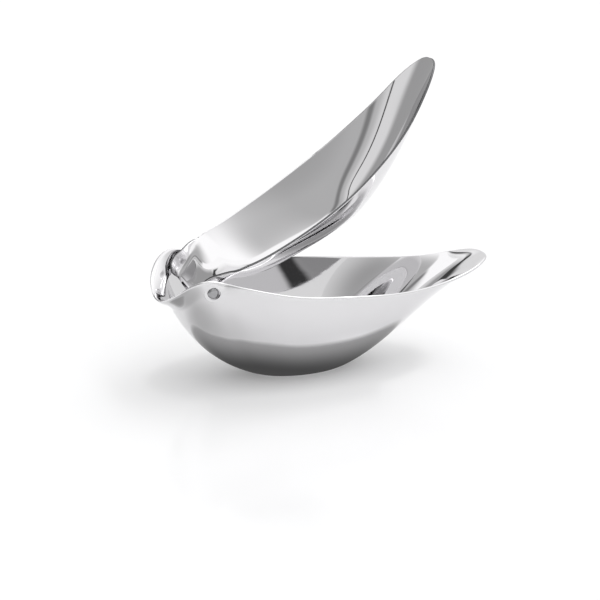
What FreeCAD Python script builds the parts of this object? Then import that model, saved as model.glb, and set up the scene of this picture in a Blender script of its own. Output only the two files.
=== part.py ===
"""Hand citrus press of polished sheet steel: a deep bowl, a leaf-shaped press lever and their hinge.

The origin is the centre of the flat base, on the surface that the press stands on. +X points to the
tips of both shells, +Z is up, and the press is symmetric about Y = 0. The lever is drawn open, at its
rest angle. All lengths are millimetres.
"""
import FreeCAD, Part
import os
from math import atan2, cos, exp, pi, radians, sin, tan

os.makedirs("parts", exist_ok=True)

V = FreeCAD.Vector
UP = V(0, 0, 1)
SIDES = {"left": 1, "right": -1}

# Sheet and overall sizes
SHEET = 1.2
BASE_HALF_LENGTH = 20.0
BASE_HALF_WIDTH = 10.5

# Hinge, across the humps of the bowl. Distances from the plane of symmetry end in _Y
HINGE = V(-46.6, 0, 47.1)
REST_ANGLE = 39.4
PIN_RADIUS = 1.5
RUNNING_CLEARANCE = 0.06
SEAT_RADIUS = 3.9
SEAT_Y = 21.6
HEAD_RADIUS = 2.55
HEAD_RECESS_RADIUS = 2.75
HEAD_SEAT_Y = 23.2
HEAD_RIM_Y = 23.9
HEAD_TOP_Y = 24.35
WASHER_RADIUS = 2.7
WASHER_THICKNESS = 0.7
SIDE_PLAY = 0.05
EAR_RADIUS = 3.5
EAR_THICKNESS = 1.2
PART_CLEARANCE = 0.3
EAR_Y = SEAT_Y - WASHER_THICKNESS - 2 * SIDE_PLAY

# Upper edge of the bowl before its mouth is flared, from the tip to the middle of the mouth
BOWL_RIM = [
    (88.0, 0.0, 42.4),
    (86.9, 5.0, 42.4),
    (80.0, 12.0, 40.8),
    (68.0, 17.5, 38.7),
    (53.0, 23.2, 38.1),
    (35.0, 28.2, 38.9),
    (9.0, 31.2, 41.4),
    (-11.0, 31.0, 43.7),
    (-28.0, 28.5, 47.5),
    (-37.0, 27.0, 50.0),
    (-44.0, 25.7, 52.0),
    (-50.0, 24.3, 52.7),
    (-54.2, 22.0, 50.9),
    (-57.0, 18.4, 46.8),
    (-58.6, 13.6, 43.0),
    (-59.2, 7.0, 39.7),
    (-59.4, 0.0, 38.7),
]
FLARE = 5.8
FLARE_SPAN = radians(40)
TUCK = 1.5
TUCK_CENTRE = radians(37)
TUCK_SPAN = radians(8)
FLARE_START = 0.90

# Bowl wall, from the base edge to the rim: two inner control points of its curve, as shares of the
# way out (first and third) and of the way up (second and fourth)
WALL_FRONT = (0.38, 0.24, 0.66, 0.92)
WALL_SIDE = (0.55, 0.16, 1.03, 0.44)
WALL_REAR = (0.47, 0.17, 0.84, 0.52)

# Press lever, in its own frame: s along its chord from the hinge to the tip, y across, n up
LEVER_ROOT = V(-47.0, 0, 46.5)
LEVER_LENGTH = 137.7
LEVER_OUTLINE = [
    (LEVER_LENGTH, 0.0),
    (136.6, 5.0),
    (131.5, 10.6),
    (124.5, 14.9),
    (115.4, 18.7),
    (103.5, 22.6),
    (93.7, 25.0),
    (83.0, 26.9),
    (69.0, 28.8),
    (55.0, 29.4),
    (43.7, 29.1),
    (32.4, 28.3),
    (21.9, 27.0),
    (12.0, 25.0),
    (8.0, 23.2),
    (5.0, 21.3),
    (2.0, 20.8),
    (-2.5, 20.1),
    (-5.0, 18.7),
]
LEVER_BACK = -6.4
LEVER_RIM_HEIGHT = [
    (-8.0, -4.0),
    (-6.0, -2.7),
    (-3.5, -1.8),
    (0.0, -1.6),
    (3.5, -0.9),
    (7.0, 1.0),
    (12.0, 1.8),
    (21.9, -0.7),
    (32.4, -3.2),
    (43.7, -5.2),
    (55.2, -6.8),
    (65.1, -7.8),
    (83.0, -8.5),
    (93.7, -8.1),
    (103.5, -7.2),
    (115.4, -5.1),
    (124.5, -2.9),
    (LEVER_LENGTH, 0.0),
    (LEVER_LENGTH + 4, 0.9),
]
LEVER_SAG = [
    (-8.0, 0.0070),
    (0.0, 0.0078),
    (3.5, 0.0095),
    (7.0, 0.0130),
    (12.0, 0.0170),
    (32.4, 0.0195),
    (73.0, 0.0222),
    (90.0, 0.0210),
    (110.0, 0.0180),
    (LEVER_LENGTH, 0.0150),
    (LEVER_LENGTH + 4, 0.0150),
]

# Turned-up edge that carries each ear: its upper and lower lines, as (s, n) points
EAR_TOP = [
    (-5.0, 1.5),
    (-3.4, 4.0),
    (-0.6, 5.2),
    (3.0, 5.2),
    (7.0, 4.4),
    (10.0, 3.5),
    (13.0, 2.2),
    (16.0, 0.9),
]
EAR_FOOT = [(16.0, 0.0), (12.0, 0.8), (7.0, 0.0), (3.5, -1.9), (0.0, -2.6), (-5.0, -3.6)]

# How finely the shells are sampled before smooth surfaces are passed through them
RING_POINTS = 56
WALL_STEPS = (0.0, 0.1, 0.22, 0.36, 0.5, 0.62, 0.74, 0.84, 0.9, 0.93, 0.965, 1.0)
SPOON_START = -7.0
SPOON_END = LEVER_LENGTH + 3.0
SPOON_STEPS = 26
SPOON_HALF_WIDTH = 32.0
SPOON_COLUMNS = 12

# Lengths that only have to reach past the parts they cut or join
THROUGH = 8.0
OVER_SHELL = 40.0

# Halvings that find a point of a smooth line to well under a micrometre
BISECTIONS = 40


def closed_curve(points):
    """Smooth closed curve through the points, evenly parameterised so that lofts stay light."""
    curve = Part.BSplineCurve()
    curve.interpolate(Points=points, PeriodicFlag=True, Parameters=list(range(len(points) + 1)))
    return curve


def mirrored(half):
    """A closed outline from its +Y half, which starts and ends on the plane of symmetry."""
    other = [V(p.x, -p.y, p.z) for p in half[-2:0:-1]]
    return half + other


def point_at(curve, x, low, high):
    """Point of a curve at x, between two of its parameters where x lies below and above."""
    for _ in range(BISECTIONS):
        middle = (low + high) / 2
        if curve.value(middle).x < x:
            low = middle
        else:
            high = middle
    return curve.value(low)


def smooth_table(table):
    """Function that reads a table of (position, value) pairs along a smooth line."""
    line = Part.BSplineCurve()
    line.interpolate(Points=[V(position, value, 0) for position, value in table])
    return lambda at: point_at(line, at, line.FirstParameter, line.LastParameter).y


def solid_from(faces):
    """One closed solid from faces that meet edge to edge."""
    shell = Part.Shell(faces)
    if not shell.isClosed():
        shell.sewShape()
    solid = Part.Solid(shell)
    if solid.Volume < 0:
        solid.reverse()
    return solid


def export(name, shape):
    shape.exportStep("parts/" + name + ".step")
    print(name, "valid", shape.isValid(), "volume", round(shape.Volume, 1))


# ---------------------------------------------------------------- lower bowl

RIM_CURVE = Part.BSplineCurve()
RIM_CURVE.interpolate(Points=mirrored([V(*p) for p in BOWL_RIM]), PeriodicFlag=True)
RIM_LENGTH = RIM_CURVE.LastParameter - RIM_CURVE.FirstParameter


def rim_point(turn):
    """Rim before flaring; turn runs from 0 at the tip, counterclockwise, to 2 pi."""
    return RIM_CURVE.value(RIM_CURVE.FirstParameter + RIM_LENGTH * (turn % (2 * pi)) / (2 * pi))


def rim_outward(turn):
    along = rim_point(turn + 0.01) - rim_point(turn - 0.01)
    return V(along.y, -along.x, 0).normalize()


def flare_amount(turn):
    """How far the edge curls outwards: most at the mouth, a little inwards at the humps, then none."""
    from_mouth = abs(turn % (2 * pi) - pi)
    outwards = FLARE * max(0.0, 1 - (from_mouth / FLARE_SPAN) ** 2) ** 1.5
    inwards = TUCK * exp(-((from_mouth - TUCK_CENTRE) / TUCK_SPAN) ** 2)
    return outwards - inwards


def bezier(first, second, t):
    return 3 * (1 - t) ** 2 * t * first + 3 * (1 - t) * t ** 2 * second + t ** 3


def wall_shape(turn):
    """Control shares of the wall's curve at this turn, blended from tip, side and mouth."""
    front = ((1 + cos(turn)) / 2) ** 3
    rear = ((1 - cos(turn)) / 2) ** 3
    side = 1 - front - rear
    rows = zip(WALL_FRONT, WALL_SIDE, WALL_REAR)
    return [front * f + side * s + rear * r for f, s, r in rows]


def base_point(turn):
    return V(BASE_HALF_LENGTH * cos(turn), BASE_HALF_WIDTH * sin(turn), 0)


def outer_point(turn, t):
    """Outer face of the bowl: t runs from 0 at the base edge to 1 at the rim."""
    out_1, up_1, out_2, up_2 = wall_shape(turn)
    base = base_point(turn)
    rim = rim_point(turn)
    way_out = bezier(out_1, out_2, t)
    way_up = bezier(up_1, up_2, t)
    point = V(base.x + (rim.x - base.x) * way_out, base.y + (rim.y - base.y) * way_out, rim.z * way_up)
    curl = max(0.0, (t - FLARE_START) / (1 - FLARE_START)) ** 2
    return point + rim_outward(turn) * (flare_amount(turn) * curl)


def inner_point(turn, t):
    """Inner face: the outer face moved inwards by the sheet thickness, square to the wall."""
    step = 0.002
    around = outer_point(turn + step, t) - outer_point(turn - step, t)
    upward = outer_point(turn, min(t + step, 1)) - outer_point(turn, max(t - step, 0))
    return outer_point(turn, t) + upward.cross(around).normalize() * SHEET


def floor_point(turn):
    """Where the inner face of the wall meets the flat floor, a mitre inside the base edge."""
    out_1, up_1, _, _ = wall_shape(turn)
    run = rim_point(turn) - base_point(turn)
    reach = V(run.x, run.y, 0)
    slope = atan2(run.z * up_1, reach.Length * out_1)
    return base_point(turn) - reach.normalize() * (SHEET * tan(slope / 2)) + UP * SHEET


def ring(point_at, t):
    turns = [2 * pi * i / RING_POINTS for i in range(RING_POINTS)]
    return closed_curve([point_at(turn, t) for turn in turns]).toShape()


def pin_cylinder(side, radius, y_from, y_to):
    """Round bar on the hinge axis between two distances from the plane of symmetry."""
    start = V(HINGE.x, side * y_from, HINGE.z)
    return Part.makeCylinder(radius, y_to - y_from, start, V(0, side, 0))


def make_bowl():
    outer = [Part.Wire([ring(outer_point, t)]) for t in WALL_STEPS]
    floor = Part.Wire([ring(lambda turn, t: floor_point(turn), 0)])
    inner = [floor] + [Part.Wire([ring(inner_point, t)]) for t in WALL_STEPS[1:]]
    outer_wall = Part.makeLoft(outer, False)
    inner_wall = Part.makeLoft(inner, False)
    rim = Part.makeRuledSurface(outer[-1], inner[-1])
    under = Part.Face(outer[0])
    bowl = solid_from(outer_wall.Faces + inner_wall.Faces + rim.Faces + [under, Part.Face(floor)])

    # Flat seats inside the humps, for the washers, and the recesses and holes for the pins
    above = ring(lambda turn, t: rim_point(turn) + UP * OVER_SHELL, 1)
    above_wire = Part.Wire([above])
    chimney = Part.makeRuledSurface(outer[-1], above_wire)
    lid = Part.makeFilledFace([above])
    within = solid_from(outer_wall.Faces + chimney.Faces + [under, lid])
    for side in SIDES.values():
        seat = pin_cylinder(side, SEAT_RADIUS, SEAT_Y, SEAT_Y + THROUGH).common(within)
        bowl = bowl.fuse(seat)
    for side in SIDES.values():
        bowl = bowl.cut(pin_cylinder(side, PIN_RADIUS, SEAT_Y, SEAT_Y + THROUGH))
        bowl = bowl.cut(pin_cylinder(side, HEAD_RECESS_RADIUS, HEAD_SEAT_Y, HEAD_SEAT_Y + THROUGH))
    return bowl


# --------------------------------------------------------------- press lever


def lever_to_world(shape):
    placed = shape.copy()
    placed.rotate(V(0, 0, 0), V(0, 1, 0), -REST_ANGLE)
    placed.translate(LEVER_ROOT)
    return placed


rim_height = smooth_table(LEVER_RIM_HEIGHT)
trough_sag = smooth_table(LEVER_SAG)


def outline_curve(inset):
    """Outline of the lever, drawn in by the inset, from one rear corner round the tip to the other."""
    half = [V(s, max(y - inset, 0), -OVER_SHELL) for s, y in LEVER_OUTLINE]
    half[0].x -= inset
    other = [V(p.x, -p.y, p.z) for p in half[:0:-1]]
    curve = Part.BSplineCurve()
    curve.interpolate(Points=other + half)
    return curve


OUTLINE = outline_curve(0)


def half_width(s):
    """Half width of the lever at s: its rear width behind its corners, and 0 past its tip."""
    if s >= LEVER_LENGTH:
        return 0.0
    tip = (OUTLINE.FirstParameter + OUTLINE.LastParameter) / 2
    return point_at(OUTLINE, s, OUTLINE.LastParameter, tip).y


def spoon_height(s, y):
    """Inside of the lever: a trough whose edge follows the rim height."""
    return rim_height(s) - trough_sag(s) * (half_width(s) ** 2 - y ** 2)


def grid_face(points):
    surface = Part.BSplineSurface()
    surface.interpolate(points)
    return surface.toShape()


def outline_prism():
    """Everything above and below the lever's outline, which is rounded at the back."""
    ends = OUTLINE.EndPoint, OUTLINE.StartPoint
    back = Part.Arc(ends[0], V(LEVER_BACK, 0, -OVER_SHELL), ends[1])
    outline = Part.Face(Part.Wire([OUTLINE.toShape(), back.toShape()]))
    return outline.extrude(V(0, 0, 2 * OVER_SHELL))


def inner_prism():
    """Everything that is more than the sheet thickness inside the edge, and all that is behind it."""
    curve = outline_curve(SHEET)
    ends = curve.EndPoint, curve.StartPoint
    behind = [V(p.x - THROUGH, p.y, p.z) for p in ends]
    back = Part.makePolygon([ends[0], behind[0], behind[1], ends[1]])
    inside = Part.Face(Part.Wire([curve.toShape()] + back.Edges))
    return inside.extrude(V(0, 0, 2 * OVER_SHELL))


def below(grid, i, j):
    """A point of the grid moved down by the sheet thickness, square to the surface."""
    along = grid[min(i + 1, SPOON_STEPS)][j] - grid[max(i - 1, 0)][j]
    across = grid[i][min(j + 1, SPOON_COLUMNS)] - grid[i][max(j - 1, 0)]
    return grid[i][j] - along.cross(across).normalize() * SHEET


def make_lever():
    pitch = (SPOON_END - SPOON_START) / SPOON_STEPS
    stations = [SPOON_START + pitch * i for i in range(SPOON_STEPS + 1)]
    columns = [SPOON_HALF_WIDTH * (2 * j / SPOON_COLUMNS - 1) for j in range(SPOON_COLUMNS + 1)]
    upper = [[V(s, y, spoon_height(s, y)) for y in columns] for s in stations]
    lower = [[below(upper, i, j) for j in range(len(columns))] for i in range(len(stations))]
    low_face, high_face = grid_face(lower), grid_face(upper)
    sides = []
    for low_edge, high_edge in zip(low_face.Edges, high_face.Edges):
        sides += Part.makeRuledSurface(low_edge, high_edge).Faces
    slab = solid_from([low_face, high_face] + sides)
    spoon = slab.common(outline_prism())

    # The turned-up edges lie between the outline and a line one sheet thickness inside it
    top = Part.BSplineCurve()
    top.interpolate(Points=[V(s, -OVER_SHELL, n) for s, n in EAR_TOP])
    foot = Part.makePolygon([V(s, -OVER_SHELL, n) for s, n in EAR_TOP[-1:] + EAR_FOOT + EAR_TOP[:1]])
    profile = Part.Face(Part.Wire([top.toShape()] + foot.Edges)).extrude(V(0, 2 * OVER_SHELL, 0))
    edges = outline_prism().cut(inner_prism()).common(profile)
    return spoon.fuse(edges)


def add_ears(spoon):
    """Flat round ears on the hinge axis, joined to the turned-up edges, with holes for the pins."""
    inside_ear = EAR_Y - EAR_THICKNESS
    for side in SIDES.values():
        spoon = spoon.fuse(pin_cylinder(side, EAR_RADIUS, inside_ear, EAR_Y))
    for side in SIDES.values():
        hole = pin_cylinder(side, PIN_RADIUS + RUNNING_CLEARANCE, inside_ear - THROUGH / 2, EAR_Y)
        beside_washer = pin_cylinder(side, WASHER_RADIUS + PART_CLEARANCE, EAR_Y, SEAT_Y)
        spoon = spoon.cut(hole.fuse(beside_washer))
    return spoon


# ---------------------------------------------------------------- hinge parts


def domed(side, radius, y_edge, y_top):
    """Low spherical dome on the hinge axis, from its round edge out to its top."""
    height = y_top - y_edge
    ball = (radius ** 2 + height ** 2) / (2 * height)
    centre = V(HINGE.x, side * (y_top - ball), HINGE.z)
    return Part.makeSphere(ball, centre).common(pin_cylinder(side, radius, y_edge, y_top))


def make_pin(side):
    shank = pin_cylinder(side, PIN_RADIUS, EAR_Y - EAR_THICKNESS, HEAD_SEAT_Y)
    head = pin_cylinder(side, HEAD_RADIUS, HEAD_SEAT_Y, HEAD_RIM_Y)
    dome = domed(side, HEAD_RADIUS, HEAD_RIM_Y, HEAD_TOP_Y)
    return shank.fuse([head, dome]).removeSplitter()


def make_washer(side):
    outside = pin_cylinder(side, WASHER_RADIUS, SEAT_Y - SIDE_PLAY - WASHER_THICKNESS, SEAT_Y - SIDE_PLAY)
    return outside.cut(pin_cylinder(side, PIN_RADIUS + RUNNING_CLEARANCE, EAR_Y, SEAT_Y))


export("lower_bowl", make_bowl())
export("press_lever", add_ears(lever_to_world(make_lever())))
for name, side in SIDES.items():
    export("pivot_pin_" + name, make_pin(side))
    export("spacer_washer_" + name, make_washer(side))
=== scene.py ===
import math
from functools import partial

import bmesh
import bpy
import numpy as np
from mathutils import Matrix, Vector


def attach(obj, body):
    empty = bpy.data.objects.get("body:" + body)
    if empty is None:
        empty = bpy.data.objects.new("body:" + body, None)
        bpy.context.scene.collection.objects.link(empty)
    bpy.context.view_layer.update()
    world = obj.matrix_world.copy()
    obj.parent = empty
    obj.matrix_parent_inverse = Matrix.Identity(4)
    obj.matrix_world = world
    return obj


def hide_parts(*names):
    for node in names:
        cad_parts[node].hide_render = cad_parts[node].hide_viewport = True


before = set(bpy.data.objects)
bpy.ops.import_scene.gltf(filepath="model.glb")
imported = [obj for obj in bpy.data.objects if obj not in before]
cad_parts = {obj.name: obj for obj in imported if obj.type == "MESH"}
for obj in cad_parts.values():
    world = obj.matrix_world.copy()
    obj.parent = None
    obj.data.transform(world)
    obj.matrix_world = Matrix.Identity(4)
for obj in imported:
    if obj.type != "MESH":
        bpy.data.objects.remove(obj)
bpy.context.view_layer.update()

MM = 0.001

# ------------------------------------------------------------------ measures
# The same driving sizes as the CAD part, in millimetres in its frame.

SHEET = 1.2
BASE_HALF_LENGTH = 20.0
BASE_HALF_WIDTH = 10.5
BOWL_RIM = [
    (88.0, 0.0, 42.4),
    (86.9, 5.0, 42.4),
    (80.0, 12.0, 40.8),
    (68.0, 17.5, 38.7),
    (53.0, 23.2, 38.1),
    (35.0, 28.2, 38.9),
    (9.0, 31.2, 41.4),
    (-11.0, 31.0, 43.7),
    (-28.0, 28.5, 47.5),
    (-37.0, 27.0, 50.0),
    (-44.0, 25.7, 52.0),
    (-50.0, 24.3, 52.7),
    (-54.2, 22.0, 50.9),
    (-57.0, 18.4, 46.8),
    (-58.6, 13.6, 43.0),
    (-59.2, 7.0, 39.7),
    (-59.4, 0.0, 38.7),
]
FLARE = 5.8
FLARE_SPAN = math.radians(40)
TUCK = 1.5
TUCK_CENTRE = math.radians(37)
TUCK_SPAN = math.radians(8)
FLARE_START = 0.90
WALL_FRONT = (0.38, 0.24, 0.66, 0.92)
WALL_SIDE = (0.55, 0.16, 1.03, 0.44)
WALL_REAR = (0.47, 0.17, 0.84, 0.52)

REST_ANGLE = math.radians(39.4)
LEVER_ROOT = np.array([-47.0, 0.0, 46.5])
LEVER_LENGTH = 137.7
LEVER_REAR = -5.0
LEVER_BACK = -6.4
LEVER_OUTLINE = [
    (LEVER_LENGTH, 0.0),
    (136.6, 5.0),
    (131.5, 10.6),
    (124.5, 14.9),
    (115.4, 18.7),
    (103.5, 22.6),
    (93.7, 25.0),
    (83.0, 26.9),
    (69.0, 28.8),
    (55.0, 29.4),
    (43.7, 29.1),
    (32.4, 28.3),
    (21.9, 27.0),
    (12.0, 25.0),
    (8.0, 23.2),
    (5.0, 21.3),
    (2.0, 20.8),
    (-2.5, 20.1),
    (LEVER_REAR, 18.7),
]
LEVER_RIM_HEIGHT = [
    (-8.0, -4.0),
    (-6.0, -2.7),
    (-3.5, -1.8),
    (0.0, -1.6),
    (3.5, -0.9),
    (7.0, 1.0),
    (12.0, 1.8),
    (21.9, -0.7),
    (32.4, -3.2),
    (43.7, -5.2),
    (55.2, -6.8),
    (65.1, -7.8),
    (83.0, -8.5),
    (93.7, -8.1),
    (103.5, -7.2),
    (115.4, -5.1),
    (124.5, -2.9),
    (LEVER_LENGTH, 0.0),
    (LEVER_LENGTH + 4, 0.9),
]
LEVER_SAG = [
    (-8.0, 0.0070),
    (0.0, 0.0078),
    (3.5, 0.0095),
    (7.0, 0.0130),
    (12.0, 0.0170),
    (32.4, 0.0195),
    (73.0, 0.0222),
    (90.0, 0.0210),
    (110.0, 0.0180),
    (LEVER_LENGTH, 0.0150),
    (LEVER_LENGTH + 4, 0.0150),
]
EAR_TOP = [
    (LEVER_REAR, 1.5),
    (-3.4, 4.0),
    (-0.6, 5.2),
    (3.0, 5.2),
    (7.0, 4.4),
    (10.0, 3.5),
    (13.0, 2.2),
    (16.0, 0.9),
]


# ------------------------------------------------------------- smooth curves


def spline(points, closed=False):
    """Cubic spline through the points, spaced by chord length. Returns a function of 0 to 1."""
    p = np.asarray(points, float)
    if closed:
        p = np.vstack([p, p[:1]])
    knots = np.concatenate([[0.0], np.cumsum(np.linalg.norm(np.diff(p, axis=0), axis=1))])
    gap = np.diff(knots)
    n = len(p)
    rows = np.zeros((n, n))
    right = np.zeros(p.shape)
    for i in range(1, n - 1):
        rows[i, i - 1], rows[i, i], rows[i, i + 1] = gap[i - 1], 2 * (gap[i - 1] + gap[i]), gap[i]
        right[i] = 6 * ((p[i + 1] - p[i]) / gap[i] - (p[i] - p[i - 1]) / gap[i - 1])
    if closed:
        rows[0, 0], rows[0, -1] = 1.0, -1.0
        rows[-1, 0], rows[-1, 1] = 2 * gap[0], gap[0]
        rows[-1, -2], rows[-1, -1] = gap[-1], 2 * gap[-1]
        right[-1] = 6 * ((p[1] - p[0]) / gap[0] - (p[-1] - p[-2]) / gap[-1])
    else:
        rows[0, 0], rows[-1, -1] = 1.0, 1.0
    bend = np.linalg.solve(rows, right)

    def at(share):
        x = np.atleast_1d(np.asarray(share, float)) * knots[-1]
        k = np.clip(np.searchsorted(knots, x, side="right") - 1, 0, n - 2)
        h = gap[k][:, None]
        a = (knots[k + 1] - x)[:, None]
        b = (x - knots[k])[:, None]
        low = p[k] / h - bend[k] * h / 6
        high = p[k + 1] / h - bend[k + 1] * h / 6
        return bend[k] * a**3 / (6 * h) + bend[k + 1] * b**3 / (6 * h) + low * a + high * b

    return at


def smooth_table(table):
    """Function that reads a table of (position, value) pairs along a smooth line."""
    line = spline(table)(np.linspace(0, 1, 4001))
    return lambda at: np.interp(at, line[:, 0], line[:, 1])


# ---------------------------------------------------------------- mesh tools


def make_object(name, verts, faces, body):
    """Smooth-shaded mesh from points in millimetres, riding on the body."""
    mesh = bpy.data.meshes.new(name)
    mesh.from_pydata([tuple(v) for v in np.asarray(verts) * MM], [], faces)
    mesh.validate()
    mesh.update()
    for polygon in mesh.polygons:
        polygon.use_smooth = True
    obj = bpy.data.objects.new(name, mesh)
    bpy.context.scene.collection.objects.link(obj)
    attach(obj, body)
    return obj


def bridge(rows, closed):
    """Quads between successive rows of vertex numbers."""
    faces = []
    for lower, upper in zip(rows, rows[1:]):
        count = len(lower)
        for i in range(count if closed else count - 1):
            j = (i + 1) % count
            faces.append((lower[i], lower[j], upper[j], upper[i]))
    return faces


def rounded(start, corner, end, u):
    """Point at u, 0 to 1, on a curve from start to end that rounds the corner."""
    return (1 - u) ** 2 * start + 2 * u * (1 - u) * corner + u**2 * end


# ------------------------------------------------------------------ the bowl

other_side = [(x, -y, z) for x, y, z in BOWL_RIM[-2:0:-1]]
rim_curve = spline(BOWL_RIM + other_side, closed=True)


def rim_point(turn):
    return rim_curve((turn % (2 * np.pi)) / (2 * np.pi))


def rim_outward(turn):
    along = rim_point(turn + 0.01) - rim_point(turn - 0.01)
    out = np.stack([along[:, 1], -along[:, 0], np.zeros(len(turn))], axis=1)
    return out / np.linalg.norm(out, axis=1)[:, None]


def flare_amount(turn):
    from_mouth = np.abs(turn % (2 * np.pi) - np.pi)
    outwards = FLARE * np.maximum(0.0, 1 - (from_mouth / FLARE_SPAN) ** 2) ** 1.5
    return outwards - TUCK * np.exp(-(((from_mouth - TUCK_CENTRE) / TUCK_SPAN) ** 2))


def bezier(first, second, t):
    return 3 * (1 - t) ** 2 * t * first + 3 * (1 - t) * t**2 * second + t**3


def wall_shape(turn):
    front = ((1 + np.cos(turn)) / 2) ** 3
    rear = ((1 - np.cos(turn)) / 2) ** 3
    side = 1 - front - rear
    return [front * f + side * s + rear * r for f, s, r in zip(WALL_FRONT, WALL_SIDE, WALL_REAR)]


def base_point(turn):
    flat = np.zeros(len(turn))
    return np.stack([BASE_HALF_LENGTH * np.cos(turn), BASE_HALF_WIDTH * np.sin(turn), flat], axis=1)


def outer_point(turn, t):
    """Outer face of the bowl, t from 0 at the base edge to 1 at the rim."""
    out_1, up_1, out_2, up_2 = wall_shape(turn)
    base, rim = base_point(turn), rim_point(turn)
    way_out = bezier(out_1, out_2, t)[:, None]
    point = base + (rim - base) * way_out
    point[:, 2] = rim[:, 2] * bezier(up_1, up_2, t)
    curl = max(0.0, (t - FLARE_START) / (1 - FLARE_START)) ** 2
    return point + rim_outward(turn) * (flare_amount(turn) * curl)[:, None]


def wall_normal(turn, t):
    """Unit normal of the wall, pointing out of the bowl."""
    step = 0.002
    around = outer_point(turn + step, t) - outer_point(turn - step, t)
    upward = outer_point(turn, min(t + step, 1)) - outer_point(turn, max(t - step, 0.0))
    normal = np.cross(around, upward)
    return normal / np.linalg.norm(normal, axis=1)[:, None]


TURNS = 360
turns = np.arange(TURNS) * 2 * np.pi / TURNS
# Heights of the mesh rings up the wall, closer together where it flares
levels = np.concatenate([np.linspace(0.05, 0.86, 34), np.linspace(0.87, 0.985, 18)])
EDGE_STEPS = 8
FOOT_STEPS = 7
FOOT_SHARE = 0.94
FLOOR_SHARE = 0.9
FLOOR_CORNER = 0.97


def make_bowl():
    rows = []
    # Underside: rings of the flat base, then a small rounding up into the wall
    wall_start = outer_point(turns, levels[0])
    foot = base_point(turns)
    for share in (0.15, 0.4, 0.65, 0.85, FOOT_SHARE):
        rows.append(foot * share)
    for k in range(1, FOOT_STEPS):
        rows.append(rounded(foot * FOOT_SHARE, foot, wall_start, k / FOOT_STEPS))
    for t in levels:
        rows.append(outer_point(turns, t))
    # Rounded edge of the sheet
    top = outer_point(turns, levels[-1])
    normal = wall_normal(turns, levels[-1])
    rise = outer_point(turns, 1.0) - top
    rise = rise / np.linalg.norm(rise, axis=1)[:, None]
    height = np.linalg.norm(outer_point(turns, 1.0) - top, axis=1)[:, None]
    for k in range(1, EDGE_STEPS):
        angle = np.pi * k / EDGE_STEPS
        inwards = (1 - math.cos(angle)) / 2 * SHEET
        rows.append(top - normal * inwards + rise * height * math.sin(angle) ** 0.8)
    for t in levels[::-1]:
        rows.append(outer_point(turns, t) - wall_normal(turns, t) * SHEET)
    # Inside floor, rounded into the wall
    inner_start = rows[-1]
    floor = foot.copy()
    floor[:, 2] = SHEET
    floor_edge = floor * [FLOOR_SHARE, FLOOR_SHARE, 1]
    floor_corner = floor * [FLOOR_CORNER, FLOOR_CORNER, 1]
    for k in range(1, FOOT_STEPS):
        rows.append(rounded(floor_edge, floor_corner, inner_start, 1 - k / FOOT_STEPS))
    for share in (0.8, 0.6, 0.4, 0.15):
        rows.append(floor * [share, share, 1])
    verts = np.vstack(rows + [[[0, 0, 0]], [[0, 0, SHEET]]])
    numbers = [list(range(i * TURNS, (i + 1) * TURNS)) for i in range(len(rows))]
    faces = bridge(numbers, closed=True)
    under, inside = len(verts) - 2, len(verts) - 1
    for i in range(TURNS):
        j = (i + 1) % TURNS
        faces.append((under, numbers[0][j], numbers[0][i]))
        faces.append((inside, numbers[-1][i], numbers[-1][j]))
    return make_object("bowl_shell", verts, faces, "bowl")


# ----------------------------------------------------------------- the lever

rim_height = smooth_table(LEVER_RIM_HEIGHT)
trough_sag = smooth_table(LEVER_SAG)
ear_top = smooth_table(EAR_TOP)
whole_outline = LEVER_OUTLINE[::-1] + [(s, -y) for s, y in LEVER_OUTLINE[1:]]
outline_line = spline(whole_outline)(np.linspace(0, 0.5, 6001))


def half_width(s):
    """Half the lever's width at s, the distance from its root."""
    return np.interp(s, outline_line[:, 0], outline_line[:, 1])


def lever_to_world(points):
    """From the lever's own frame (along, across, up) to the frame of the press."""
    c, s = math.cos(REST_ANGLE), math.sin(REST_ANGLE)
    p = np.asarray(points)
    turned = np.stack([p[:, 0] * c - p[:, 2] * s, p[:, 1], p[:, 0] * s + p[:, 2] * c], axis=1)
    return turned + LEVER_ROOT


ROWS = 120
ACROSS = 80
EAR_BEND = 3.0
EAR_BLEND = 5.0
BACK_BLEND = 8.0
EDGE_BULGE = 0.35
CUT_EDGE_SLOT = 1


def section(s):
    """Inside of the lever at s, from edge to edge, with its edges turned up near the hinge."""
    turned_up = np.clip((EAR_TOP[-1][0] - s) / EAR_BLEND, 0, 1)
    w = max(half_width(s), 0.02) - SHEET * turned_up**2 * (3 - 2 * turned_up)
    rim = rim_height(s)
    flange = max(0.0, ear_top(s) - rim) if s < EAR_TOP[-1][0] else 0.0
    bend = min(EAR_BEND, flange * 0.75, w * 0.3)
    y = np.linspace(0, w - bend, 60)
    z = rim - trough_sag(s) * (w**2 - y**2)
    if flange > 0.02:
        slope = 2 * trough_sag(s) * y[-1]
        start = np.array([y[-1], z[-1]])
        corner = np.array([w, z[-1] + slope * bend])
        up_to = np.array([w, corner[1] + bend * 0.6])
        u = np.linspace(0, 1, 16)[1:, None]
        arc = rounded(start, corner, up_to, u)
        top = max(rim + flange, up_to[1] + 0.02)
        straight = np.stack([np.full(10, w), np.linspace(up_to[1], top, 11)[1:]], axis=1)
        half = np.vstack([np.stack([y, z], axis=1), arc, straight])
    else:
        half = np.stack([y, z], axis=1)
    length = np.concatenate([[0], np.cumsum(np.linalg.norm(np.diff(half, axis=0), axis=1))])
    at = np.linspace(0, 1, ACROSS // 2 + 1) * length[-1]
    half = np.stack([np.interp(at, length, half[:, 0]), np.interp(at, length, half[:, 1])], axis=1)
    both = np.vstack([half[:0:-1] * [-1, 1], half])
    return np.column_stack([np.full(len(both), s), both])


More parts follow.
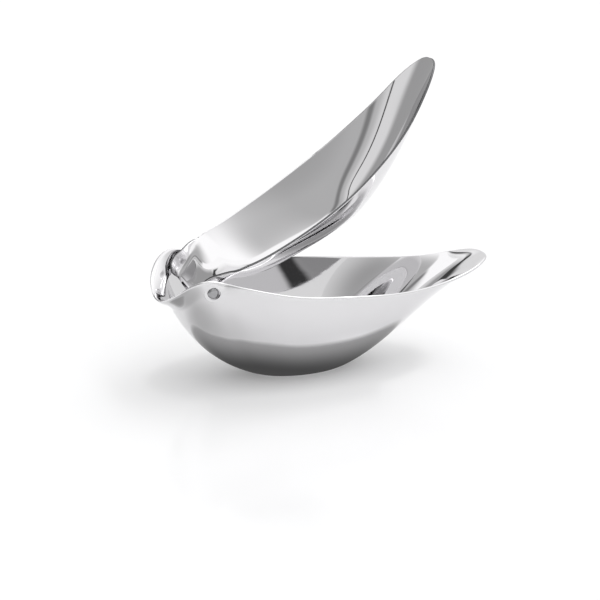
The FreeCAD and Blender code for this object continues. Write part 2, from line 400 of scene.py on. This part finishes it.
def rounded_back(grid):
    """The rear rows of the grid, bent so that the rear edge curves back between the ears."""
    reach = np.clip((BACK_BLEND - grid[:, :, 0]) / (BACK_BLEND - LEVER_REAR), 0, 1) ** 2
    side = np.clip(1 - (grid[:, :, 1] / half_width(LEVER_REAR)) ** 2, 0, 1)
    grid[:, :, 0] += (LEVER_BACK - LEVER_REAR) * reach * side
    return grid


def make_lever():
    u = np.linspace(0, 1, ROWS)
    # Rows are closer together towards the tip
    tip_share = 0.5 - 0.5 * np.cos(np.pi * (0.5 + 0.5 * u))
    tip_share = (tip_share - tip_share[0]) / (tip_share[-1] - tip_share[0])
    stations = LEVER_REAR + (LEVER_LENGTH - 0.02 - LEVER_REAR) * tip_share
    grid = rounded_back(np.array([section(s) for s in stations]))
    along = np.gradient(grid, axis=0)
    across = np.gradient(grid, axis=1)
    normal = np.cross(along, across)
    normal = normal / np.linalg.norm(normal, axis=2)[:, :, None]
    under = grid - normal * SHEET
    # The outer face ends flush with the outline, as a trimmed sheet does
    widest = np.maximum(np.abs(under[:, -1, 1]), 1e-6)
    allowed = np.maximum(np.array([half_width(s) for s in stations]), 1e-6)
    under[:, :, 1] *= np.minimum(1.0, allowed / widest)[:, None]
    rows, columns = grid.shape[:2]
    count = rows * columns
    top_id = np.arange(count).reshape(rows, columns)
    low_id = top_id + count
    verts = [grid.reshape(-1, 3), under.reshape(-1, 3)]
    faces = bridge(top_id.tolist(), closed=False)
    faces += [f[::-1] for f in bridge(low_id.tolist(), closed=False)]
    loop = [(i, 0) for i in range(rows)] + [(rows - 1, j) for j in range(1, columns)]
    loop += [(i, columns - 1) for i in range(rows - 2, -1, -1)] + [(0, j) for j in range(columns - 2, 0, -1)]
    ids = [[int(top_id[i, j]) for i, j in loop]]
    rim_top = np.array([grid[i, j] for i, j in loop])
    rim_low = np.array([under[i, j] for i, j in loop])
    rim_normal = np.array([normal[i, j] for i, j in loop])
    tangent = np.roll(rim_top, -1, axis=0) - np.roll(rim_top, 1, axis=0)
    out = np.cross(rim_normal, tangent)
    out = out / np.maximum(np.linalg.norm(out, axis=1), 1e-9)[:, None]
    base = 2 * count
    for k in range(1, EDGE_STEPS):
        angle = np.pi * k / EDGE_STEPS
        share = (1 - math.cos(angle)) / 2
        ring = rim_top * (1 - share) + rim_low * share + out * EDGE_BULGE * math.sin(angle)
        verts.append(ring)
        ids.append(list(range(base, base + len(loop))))
        base += len(loop)
    ids.append([int(low_id[i, j]) for i, j in loop])
    sheet_faces = len(faces)
    faces += bridge(ids, closed=True)
    placed = lever_to_world(np.vstack(verts))
    lever = make_object("press_lever_shell", placed, faces, "lever")
    for polygon in lever.data.polygons:
        polygon.material_index = CUT_EDGE_SLOT if polygon.index >= sheet_faces else 0
    return lever


# ------------------------------------------------------------- hinge details


HINGE = (-46.6, 47.1)
SEAT_RADIUS = 3.9
SEAT_Y = 21.6
SEAT_BACK_Y = 23.7
SEAT_EDGE = 0.15
HEAD_RADIUS = 2.4
HEAD_SEAT_Y = 23.2
HEAD_RIM_Y = 23.6
HEAD_TOP_Y = 24.35
DOME_STEPS = 8
RECESS_RADIUS = 2.75
CUT_OUTSIDE_Y = 30.0
PIN_RADIUS = 1.5
PIN_CHAMFER = 0.2
EAR_INSIDE_Y = 19.6


def turned(profile, side, name, segments=48):
    """Mesh turned about the hinge axis from (radius, distance from the middle plane) pairs."""
    angles = np.arange(segments) * 2 * np.pi / segments
    verts, rows = [], []
    for radius, y in profile:
        ring_count = 1 if radius < 1e-6 else segments
        rows.append(list(range(len(verts), len(verts) + ring_count)))
        for angle in angles[:ring_count]:
            x = HINGE[0] + radius * math.cos(angle)
            z = HINGE[1] + radius * math.sin(angle)
            verts.append((x, side * y, z))
    faces = []
    for lower, upper in zip(rows, rows[1:]):
        for i in range(segments):
            j = (i + 1) % segments
            if len(lower) == 1:
                faces.append((lower[0], upper[j], upper[i]))
            elif len(upper) == 1:
                faces.append((lower[i], lower[j], upper[0]))
            else:
                faces.append((lower[i], lower[j], upper[j], upper[i]))
    mesh = bpy.data.meshes.new(name)
    mesh.from_pydata([tuple(c * MM for c in v) for v in verts], [], faces)
    mesh.update()
    fix_normals(mesh)
    return mesh


def fix_normals(mesh):
    """Turns every face outwards and shades the mesh smooth."""
    work = bmesh.new()
    work.from_mesh(mesh)
    bmesh.ops.recalc_face_normals(work, faces=work.faces)
    work.to_mesh(mesh)
    work.free()
    for polygon in mesh.polygons:
        polygon.use_smooth = True


def combine(obj, cutter_mesh, operation):
    """Applies a boolean of the mesh to the object and drops the helper."""
    helper = bpy.data.objects.new("helper", cutter_mesh)
    bpy.context.scene.collection.objects.link(helper)
    modifier = obj.modifiers.new("combine", "BOOLEAN")
    modifier.operation = operation
    modifier.solver = "EXACT"
    modifier.object = helper
    bpy.context.view_layer.update()
    shaped = obj.evaluated_get(bpy.context.evaluated_depsgraph_get())
    result = bpy.data.meshes.new_from_object(shaped)
    obj.modifiers.clear()
    old = obj.data
    obj.data = result
    result.name = obj.name
    bpy.data.objects.remove(helper)
    bpy.data.meshes.remove(old)


def sharpen(mesh, degrees=35):
    """Marks the edges where the surface turns sharply, so that each side keeps its own shading."""
    work = bmesh.new()
    work.from_mesh(mesh)
    for edge in work.edges:
        if len(edge.link_faces) == 2:
            edge.smooth = edge.calc_face_angle(0) < math.radians(degrees)
    work.to_mesh(mesh)
    work.free()


def seat_profile():
    """Disc under the ear and round the pin, with softened edges, closed at both ends."""
    steps = 5
    middle = SEAT_RADIUS - SEAT_EDGE
    points = [(0.0, SEAT_Y), (middle, SEAT_Y)]
    for k in range(1, steps + 1):
        a = math.pi / 2 * k / steps
        points.append((middle + SEAT_EDGE * math.sin(a), SEAT_Y + SEAT_EDGE - SEAT_EDGE * math.cos(a)))
    for k in range(steps + 1):
        a = math.pi / 2 * k / steps
        points.append((middle + SEAT_EDGE * math.cos(a), SEAT_BACK_Y - SEAT_EDGE + SEAT_EDGE * math.sin(a)))
    return points + [(0.0, SEAT_BACK_Y)]


def recess_profile():
    """What is cut away for the pin: a hole for the shank and a wider one for the head."""
    points = [(0.0, SEAT_Y - 1), (PIN_RADIUS, SEAT_Y - 1), (PIN_RADIUS, HEAD_SEAT_Y)]
    points += [(RECESS_RADIUS, HEAD_SEAT_Y), (RECESS_RADIUS, CUT_OUTSIDE_Y), (0.0, CUT_OUTSIDE_Y)]
    return points


def pin_profile():
    """A plain shank under a low domed head."""
    points = [(0.0, EAR_INSIDE_Y), (PIN_RADIUS - PIN_CHAMFER, EAR_INSIDE_Y)]
    points += [(PIN_RADIUS, EAR_INSIDE_Y + PIN_CHAMFER), (PIN_RADIUS, HEAD_SEAT_Y)]
    points += [(HEAD_RADIUS, HEAD_SEAT_Y), (HEAD_RADIUS, HEAD_RIM_Y)]
    for k in range(1, DOME_STEPS):
        a = math.pi / 2 * k / DOME_STEPS
        y = HEAD_RIM_Y + (HEAD_TOP_Y - HEAD_RIM_Y) * math.sin(a)
        points.append((HEAD_RADIUS * math.cos(a), y))
    return points + [(0.0, HEAD_TOP_Y)]


# ----------------------------------------------------------------- materials

# Noise scales are per metre, the depth is in metres
CLOUD_SCALE = 45.0
LINE_SCALE = 260.0
GRAIN_SCALE = 900.0
SCRATCH_DEPTH = 0.00002


def new_material(name):
    """Material with its node tree and its main shader."""
    material = bpy.data.materials.new(name)
    material.use_nodes = True
    tree = material.node_tree
    return material, tree, tree.nodes["Principled BSDF"]


def noise(tree, scale, detail, stretch=(1, 1, 1)):
    """Noise fixed to the piece, 0 to 1, stretched along the axes."""
    coordinates = tree.nodes.new("ShaderNodeTexCoord")
    mapping = tree.nodes.new("ShaderNodeMapping")
    mapping.inputs["Scale"].default_value = stretch
    texture = tree.nodes.new("ShaderNodeTexNoise")
    texture.inputs["Scale"].default_value = scale
    texture.inputs["Detail"].default_value = detail
    tree.links.new(coordinates.outputs["Object"], mapping.inputs["Vector"])
    tree.links.new(mapping.outputs["Vector"], texture.inputs["Vector"])
    return texture.outputs["Fac"]


def ramp(tree, value, low, high, from_low=0.0, from_high=1.0):
    """Goes from low to high as the value goes from from_low to from_high."""
    node = tree.nodes.new("ShaderNodeMapRange")
    node.inputs["From Min"].default_value = from_low
    node.inputs["From Max"].default_value = from_high
    node.inputs["To Min"].default_value = low
    node.inputs["To Max"].default_value = high
    tree.links.new(value, node.inputs["Value"])
    return node.outputs["Result"]


def tone_between(tree, shader, value, dark, light):
    """Gives the shader a colour between dark and light by the value."""
    tone = tree.nodes.new("ShaderNodeMix")
    tone.data_type = "RGBA"
    tone.inputs["A"].default_value = (*dark, 1)
    tone.inputs["B"].default_value = (*light, 1)
    tree.links.new(value, tone.inputs["Factor"])
    tree.links.new(tone.outputs["Result"], shader.inputs["Base Color"])


def calc(tree, operation, a, b=0.0):
    """Result of one sum on numbers or node outputs."""
    node = tree.nodes.new("ShaderNodeMath")
    node.operation = operation
    for value, socket in ((a, node.inputs[0]), (b, node.inputs[1])):
        if isinstance(value, (int, float)):
            socket.default_value = value
        else:
            tree.links.new(value, socket)
    return node.outputs["Value"]


def steel(name, dark, light, smooth, rough, scratch):
    """Polished steel: faint cloudiness in tone and gloss, and hair-fine polishing lines."""
    material, tree, shader = new_material(name)
    shader.inputs["Metallic"].default_value = 1.0
    clouds = noise(tree, CLOUD_SCALE, 4.0)
    tone_between(tree, shader, clouds, dark, light)
    lines = noise(tree, LINE_SCALE, 3.0, stretch=(0.12, 1.0, 1.0))
    wear = calc(tree, "MULTIPLY", clouds, lines)
    tree.links.new(ramp(tree, wear, smooth, rough, 0.15, 0.42), shader.inputs["Roughness"])
    bump = tree.nodes.new("ShaderNodeBump")
    bump.inputs["Strength"].default_value = scratch
    bump.inputs["Distance"].default_value = SCRATCH_DEPTH
    tree.links.new(lines, bump.inputs["Height"])
    tree.links.new(bump.outputs["Normal"], shader.inputs["Normal"])
    return material


def plastic(name):
    """Natural white washer plastic with a fine moulded grain."""
    material, tree, shader = new_material(name)
    grain = noise(tree, GRAIN_SCALE, 4.0)
    tone_between(tree, shader, grain, (0.74, 0.73, 0.70), (0.82, 0.81, 0.78))
    tree.links.new(ramp(tree, grain, 0.4, 0.55), shader.inputs["Roughness"])
    return material


polished = steel("polished_steel_look", (0.715, 0.709, 0.72), (0.745, 0.74, 0.75), 0.025, 0.06, 0.12)
# The pin's steel is painted darker than the bowl's, as painted shade of the recess it sits in
pin_shaded_look = steel("pin_steel_painted_shade_look", (0.32, 0.32, 0.33), (0.42, 0.42, 0.43), 0.05, 0.14, 0.25)
cut_edge = steel("cut_edge_look", (0.13, 0.13, 0.135), (0.2, 0.2, 0.205), 0.1, 0.25, 0.3)
washer_look = plastic("washer_plastic_look")

# ---------------------------------------------------------------- the pieces

bowl = make_bowl()
for side in (1, -1):
    combine(bowl, turned(seat_profile(), side, "seat"), "UNION")
    combine(bowl, turned(recess_profile(), side, "recess"), "DIFFERENCE")
fix_normals(bowl.data)
sharpen(bowl.data)
bowl.data.materials.clear()
bowl.data.materials.append(polished)
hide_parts("lower_bowl")

lever = make_lever()
fix_normals(lever.data)
lever.data.materials.append(polished)
lever.data.materials.append(cut_edge)
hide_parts("press_lever")

for label, side in (("left", 1), ("right", -1)):
    pin_mesh = turned(pin_profile(), side, "pivot_pin_turned_" + label, 64)
    sharpen(pin_mesh)
    pin_mesh.materials.append(pin_shaded_look)
    pin = bpy.data.objects.new("pivot_pin_turned_" + label, pin_mesh)
    bpy.context.scene.collection.objects.link(pin)
    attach(pin, "bowl")
    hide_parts("pivot_pin_" + label)
    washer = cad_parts["spacer_washer_" + label]
    washer.data.materials.clear()
    washer.data.materials.append(washer_look)

# -------------------------------------------------------------- stage, light

FLOOR_SIZE = 6.0
FLOOR_GLOW = 0.2
# Size and height of the card that carries the painted floor shadow
SHADOW_CARD_SIZE = 0.16
SHADOW_CARD_HEIGHT = 0.0003


def stage_plane(name, size, height, material):
    """Square plane under the press; size is half its side, in metres."""
    corners = [(x * size, y * size, height) for x, y in ((-1, -1), (1, -1), (1, 1), (-1, 1))]
    mesh = bpy.data.meshes.new(name)
    mesh.from_pydata(corners, [], [(0, 1, 2, 3)])
    mesh.materials.append(material)
    obj = bpy.data.objects.new(name, mesh)
    bpy.context.scene.collection.objects.link(obj)
    return obj


def floor_material():
    """Glossy white table top that glows faintly, so that shadows on it stay soft."""
    material, _, shader = new_material("floor_look")
    shader.inputs["Base Color"].default_value = (0.82, 0.82, 0.825, 1)
    shader.inputs["Roughness"].default_value = 0.12
    shader.inputs["Specular IOR Level"].default_value = 0.45
    shader.inputs["Emission Color"].default_value = (1, 1, 1, 1)
    shader.inputs["Emission Strength"].default_value = FLOOR_GLOW
    return material


def smooth_step(tree, value, start, end, low=0.0, high=1.0):
    """Goes smoothly from low to high as the value goes from start to end."""
    node = tree.nodes.new("ShaderNodeMapRange")
    node.interpolation_type = "SMOOTHSTEP"
    for name, number in (("From Min", start), ("From Max", end), ("To Min", low), ("To Max", high)):
        node.inputs[name].default_value = number
    tree.links.new(value, node.inputs["Value"])
    return node.outputs["Result"]


def root_of_squares(tree, a, b):
    squares = calc(tree, "ADD", calc(tree, "MULTIPLY", a, a), calc(tree, "MULTIPLY", b, b))
    return calc(tree, "SQRT", squares)


def from_centre(tree, x, y, centre, radii):
    """Distance from the centre of an ellipse, 1 on the ellipse itself."""
    across = calc(tree, "DIVIDE", calc(tree, "SUBTRACT", x, centre[0]), radii[0])
    along = calc(tree, "DIVIDE", calc(tree, "SUBTRACT", y, centre[1]), radii[1])
    return root_of_squares(tree, across, along)


def painted_shadow_card_material():
    """Painted floor shadow seen only in reflections: a dark oval round the foot and a fainter one under the
    mouth, clear elsewhere.
    """
    material = bpy.data.materials.new("painted_shadow_card_look")
    material.use_nodes = True
    tree = material.node_tree
    tree.nodes.clear()
    coordinates = tree.nodes.new("ShaderNodeTexCoord")
    split = tree.nodes.new("ShaderNodeSeparateXYZ")
    tree.links.new(coordinates.outputs["Object"], split.inputs["Vector"])
    x, y = split.outputs["X"], split.outputs["Y"]
    foot = from_centre(tree, x, y, (-0.006, 0.0), (0.062, 0.0335))
    mouth = from_centre(tree, x, y, (-0.072, -0.026), (0.036, 0.036))
    foot_shadow_cover = smooth_step(tree, foot, 0.95, 1.12, 1.0, 0.0)
    mouth_shadow_cover = smooth_step(tree, mouth, 0.1, 1.5, 0.7, 0.0)
    # Painted shade: the card's brightness, darkest in the middle of the foot and lighter towards its edge
    painted_shade_strength = tree.nodes.new("ShaderNodeEmission")
    tree.links.new(smooth_step(tree, foot, 0.4, 1.05, 0.08, 0.42), painted_shade_strength.inputs["Strength"])
    clear = tree.nodes.new("ShaderNodeBsdfTransparent")
    mixed = tree.nodes.new("ShaderNodeMixShader")
    tree.links.new(calc(tree, "MAXIMUM", foot_shadow_cover, mouth_shadow_cover), mixed.inputs["Fac"])
    tree.links.new(clear.outputs["BSDF"], mixed.inputs[1])
    tree.links.new(painted_shade_strength.outputs["Emission"], mixed.inputs[2])
    output = tree.nodes.new("ShaderNodeOutputMaterial")
    tree.links.new(mixed.outputs["Shader"], output.inputs["Surface"])
    return material


stage_plane("floor", FLOOR_SIZE, 0.0, floor_material())

# Card with a painted floor shadow that only the steel reflects: it darkens the steel where it mirrors the
# floor round the foot and under the mouth
painted_shadow_card = stage_plane("painted_shadow_card", SHADOW_CARD_SIZE, SHADOW_CARD_HEIGHT, painted_shadow_card_material())
painted_shadow_card.visible_camera = False
painted_shadow_card.visible_diffuse = False
painted_shadow_card.visible_shadow = False

# Directions in the studio, in degrees: turn is from +Y towards +X, height is above the floor
SWEEP_LEFT = -74.0
SWEEP_TOP = 41.0
SWEEP_CORNER = 14.0
TOP_STRETCH = 1.9
BAND_OUTSIDE = 21.0
STRIP_TURN = -0.5
STRIP_LEAN_FROM = 27.0
STRIP_LEAN = 0.8

# Brightness in the studio, 1 is white
OVERHEAD_LEFT = 0.56
OVERHEAD_RIGHT = 1.35
LAMP = 3.6
BAND = 0.27
SEAM = 0.05
STRIP = 0.06
BELOW = 0.6
BACKGROUND = 1.0


def make_studio():
    """Soft surround: a sweep with a dark seam at its left and top, a strip behind, a lamp at the right."""
    world = bpy.data.worlds.new("studio")
    bpy.context.scene.world = world
    world.use_nodes = True
    tree = world.node_tree
    do = partial(calc, tree)
    step = partial(smooth_step, tree)

    def mix(share, a, b):
        return do("ADD", do("MULTIPLY", do("SUBTRACT", 1.0, share), a), do("MULTIPLY", share, b))

    def distance(value, centre):
        return do("ABSOLUTE", do("SUBTRACT", value, centre))

    def beyond(value):
        """Degrees past the start of the sweep's rounded corner."""
        return do("MAXIMUM", do("ADD", value, SWEEP_CORNER), 0.0)

    coordinates = tree.nodes.new("ShaderNodeTexCoord")
    split = tree.nodes.new("ShaderNodeSeparateXYZ")
    tree.links.new(coordinates.outputs["Generated"], split.inputs["Vector"])
    x, y, z = split.outputs["X"], split.outputs["Y"], split.outputs["Z"]
    degrees = 180 / math.pi
    turn = do("MULTIPLY", do("ARCTAN2", x, y), degrees)
    height = do("MULTIPLY", do("ARCSINE", z), degrees)

    # Overhead: grey at the left, bright at the right, a little darker in front, and the lamp
    overhead = mix(step(x, -0.36, 0.12), OVERHEAD_LEFT, OVERHEAD_RIGHT)
    overhead = do("MULTIPLY", overhead, mix(step(y, -0.62, -0.25), 0.85, 1.0))
    overhead = do("MULTIPLY", overhead, mix(step(y, -0.95, -0.55), 0.75, 1.0))
    lamp = do("MULTIPLY", step(x, 0.30, 0.55), step(z, 0.35, 0.6))
    overhead = do("ADD", overhead, do("MULTIPLY", lamp, LAMP))

    # How far a direction is outside the sweep, in degrees
    past_left = beyond(do("SUBTRACT", SWEEP_LEFT, turn))
    past_top = beyond(do("MULTIPLY", do("SUBTRACT", height, SWEEP_TOP), TOP_STRETCH))
    outside = do("SUBTRACT", root_of_squares(tree, past_left, past_top), SWEEP_CORNER)

    sweep = mix(step(height, 5.0, 19.0), 0.45, 0.90)
    sweep = mix(step(turn, -56.0, -42.0), sweep, 0.42)
    sweep = mix(step(height, 30.0, 44.0), sweep, 0.95)
    sweep = mix(step(turn, -9.0, 8.0), sweep, mix(step(height, 24.0, 42.0), 0.9, 1.25))
    border = mix(step(outside, 2.0, 14.0), 0.85, 0.60)
    border = mix(step(turn, -46.0, -30.0), border, 1.3)
    shade = mix(step(outside, 0.0, 1.2), sweep, border)
    shade = mix(step(outside, 22.0, 30.0), shade, overhead)

    # The seam round the sweep and the soft band beyond it show only at the left
    leftwards = do("SUBTRACT", 1.0, step(turn, -42.0, -30.0))
    band = do("SUBTRACT", 1.0, step(distance(outside, BAND_OUTSIDE), 1.0, 7.0))
    seam = do("SUBTRACT", 1.0, step(do("ABSOLUTE", outside), 0.5, 1.6))
    shade = mix(do("MULTIPLY", band, leftwards), shade, BAND)
    shade = mix(do("MULTIPLY", seam, leftwards), shade, SEAM)

    # A dark strip straight behind the press, leaning to the right at its top
    lean = do("MULTIPLY", do("MAXIMUM", do("SUBTRACT", height, STRIP_LEAN_FROM), 0.0), STRIP_LEAN)
    across = do("SUBTRACT", 1.0, step(distance(do("SUBTRACT", turn, STRIP_TURN), lean), 2.5, 6.0))
    upwards = do("SUBTRACT", 1.0, step(height, 34.0, 40.0))
    shade = mix(do("MULTIPLY", across, upwards), shade, STRIP)
    shade = mix(step(height, -2.0, 2.0), BELOW, shade)

    # Behind the press itself the studio is plain white
    path = tree.nodes.new("ShaderNodeLightPath")
    shade = mix(path.outputs["Is Camera Ray"], shade, BACKGROUND)
    background = tree.nodes["Background"]
    background.inputs["Color"].default_value = (1.0, 1.0, 1.0, 1)
    tree.links.new(shade, background.inputs["Strength"])


make_studio()
bpy.context.scene.view_settings.view_transform = "Standard"

# -------------------------------------------------------------------- camera

camera_data = bpy.data.cameras.new("camera")
camera = bpy.data.objects.new("camera", camera_data)
bpy.context.scene.collection.objects.link(camera)
camera.location = (-0.2973, -0.8177, 0.3307)
camera.rotation_mode = "QUATERNION"
camera.rotation_quaternion = Vector((0.3234, 0.8885, -0.3256)).to_track_quat("-Z", "Y")
camera_data.lens = 126.9
camera_data.sensor_width = 36
bpy.context.scene.camera = camera
